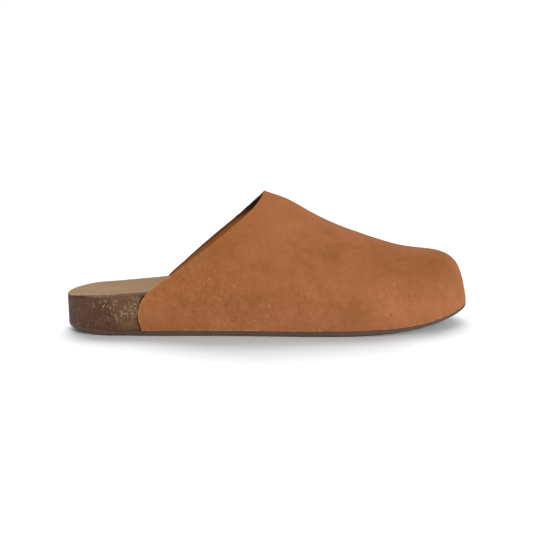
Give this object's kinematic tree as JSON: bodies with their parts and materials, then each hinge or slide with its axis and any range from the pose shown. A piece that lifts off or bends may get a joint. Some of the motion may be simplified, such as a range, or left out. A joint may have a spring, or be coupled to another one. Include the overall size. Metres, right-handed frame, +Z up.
{
  "type": "suede clog",
  "caption": "Backless closed-toe suede clog for the right foot: a seamless hollow upper drawn over a cork footbed, with a suede insole and a thin outsole.",
  "frame": {"origin": "on the floor under the middle of the shoe's bounding box", "axes": "+X towards the toe, +Y towards the medial side, +Z up"},
  "size_m": [0.2712, 0.1004, 0.0915],
  "materials": {
    "outsole": "matt dark brown rubber sheet",
    "cork": "dark brown cork composite with light flecks",
    "insole": "beige suede",
    "suede": "tan suede with a short nap"
  },
  "bodies": {
    "root": {"outsole": "outsole", "midsole": "cork", "insole": "insole", "upper": "suede"}
  },
  "joints": []
}
